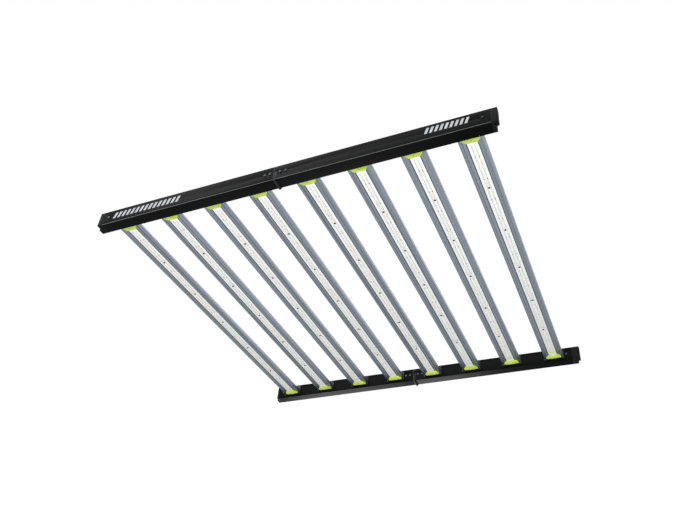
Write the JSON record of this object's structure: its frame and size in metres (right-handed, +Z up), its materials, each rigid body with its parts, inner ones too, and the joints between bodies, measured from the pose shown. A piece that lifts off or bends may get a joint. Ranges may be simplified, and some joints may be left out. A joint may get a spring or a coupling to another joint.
{
  "type": "led grow light",
  "caption": "Folding flat LED grow light: light bars set in even steps between two black rails that fold face to face at the middle, with hanging rings on top.",
  "frame": {"origin": "middle of the fixture in plan, at the height of the lowest point of the fold barrels", "axes": "+X along the rails to the right, +Y along the light bars from the near rail to the far rail, +Z up, LEDs facing down"},
  "size_m": [1.148, 1.1138, 0.0552],
  "materials": {
    "black_coated_aluminium": "satin black powder coat on extruded aluminium",
    "anodised_aluminium": "clear anodised extrusion with fine die lines",
    "white_circuit_board": "white solder mask on an aluminium board",
    "lime_plastic": "injection moulded, semi gloss",
    "black_plastic": "injection moulded, fine texture",
    "hinge_casting": "die cast, dark grey coat",
    "blackened_steel": "black oxide steel",
    "zinc_steel": "zinc plated steel",
    "cable_jacket": "PVC cable jacket"
  },
  "bodies": {
    "left_half": {"near_left_rail": "black_coated_aluminium", "far_left_rail": "black_coated_aluminium", "near_left_cover": "black_coated_aluminium", "far_left_cover": "black_coated_aluminium", "near_left_end_cap": "black_plastic", "far_left_end_cap": "black_plastic", "near_fork_block": "hinge_casting", "near_hinge_pin": "zinc_steel", "near_lock_bolt": "blackened_steel", "far_tongue_block": "hinge_casting", "left_ring_saddles": "zinc_steel", "left_brackets": "anodised_aluminium", "left_frame_screws": "blackened_steel", "left_board_screws": "zinc_steel", "left_power_inlet": "black_plastic", "left_wiring": "cable_jacket", "bar_1_heatsink": "anodised_aluminium", "bar_1_board": "white_circuit_board", "bar_1_end_caps": "lime_plastic", "bar_2_heatsink": "anodised_aluminium", "bar_2_board": "white_circuit_board", "bar_2_end_caps": "lime_plastic", "bar_3_heatsink": "anodised_aluminium", "bar_3_board": "white_circuit_board", "bar_3_end_caps": "lime_plastic", "bar_4_heatsink": "anodised_aluminium", "bar_4_board": "white_circuit_board", "bar_4_end_caps": "lime_plastic"},
    "right_half": {"near_right_rail": "black_coated_aluminium", "far_right_rail": "black_coated_aluminium", "near_right_cover": "black_coated_aluminium", "far_right_cover": "black_coated_aluminium", "near_right_end_cap": "black_plastic", "far_right_end_cap": "black_plastic", "far_fork_block": "hinge_casting", "far_hinge_pin": "zinc_steel", "far_lock_bolt": "blackened_steel", "near_tongue_block": "hinge_casting", "right_ring_saddles": "zinc_steel", "right_brackets": "anodised_aluminium", "right_frame_screws": "blackened_steel", "right_board_screws": "zinc_steel", "right_power_inlet": "black_plastic", "right_wiring": "cable_jacket", "bar_5_heatsink": "anodised_aluminium", "bar_5_board": "white_circuit_board", "bar_5_end_caps": "lime_plastic", "bar_6_heatsink": "anodised_aluminium", "bar_6_board": "white_circuit_board", "bar_6_end_caps": "lime_plastic", "bar_7_heatsink": "anodised_aluminium", "bar_7_board": "white_circuit_board", "bar_7_end_caps": "lime_plastic", "bar_8_heatsink": "anodised_aluminium", "bar_8_board": "white_circuit_board", "bar_8_end_caps": "lime_plastic"},
    "near_left_ring": {"near_left_ring": "zinc_steel"},
    "far_left_ring": {"far_left_ring": "zinc_steel"},
    "near_right_ring": {"near_right_ring": "zinc_steel"},
    "far_right_ring": {"far_right_ring": "zinc_steel"}
  },
  "joints": [
    {"name": "fold", "type": "hinge", "parent": "left_half", "child": "right_half", "pos_m": [0, 0, 0.004], "axis": [0, 1, 0], "range_deg": [0, 180]},
    {"name": "near_left_ring_swing", "type": "hinge", "parent": "left_half", "child": "near_left_ring", "pos_m": [-0.45663, -0.54735, 0.0518], "axis": [1, 0, 0], "range_deg": [0, 180]},
    {"name": "near_right_ring_swing", "type": "hinge", "parent": "right_half", "child": "near_right_ring", "pos_m": [0.45663, -0.54735, 0.0518], "axis": [1, 0, 0], "range_deg": [0, 180]},
    {"name": "far_left_ring_swing", "type": "hinge", "parent": "left_half", "child": "far_left_ring", "pos_m": [-0.45663, 0.54735, 0.0518], "axis": [-1, 0, 0], "range_deg": [0, 180]},
    {"name": "far_right_ring_swing", "type": "hinge", "parent": "right_half", "child": "far_right_ring", "pos_m": [0.45663, 0.54735, 0.0518], "axis": [-1, 0, 0], "range_deg": [0, 180]}
  ]
}
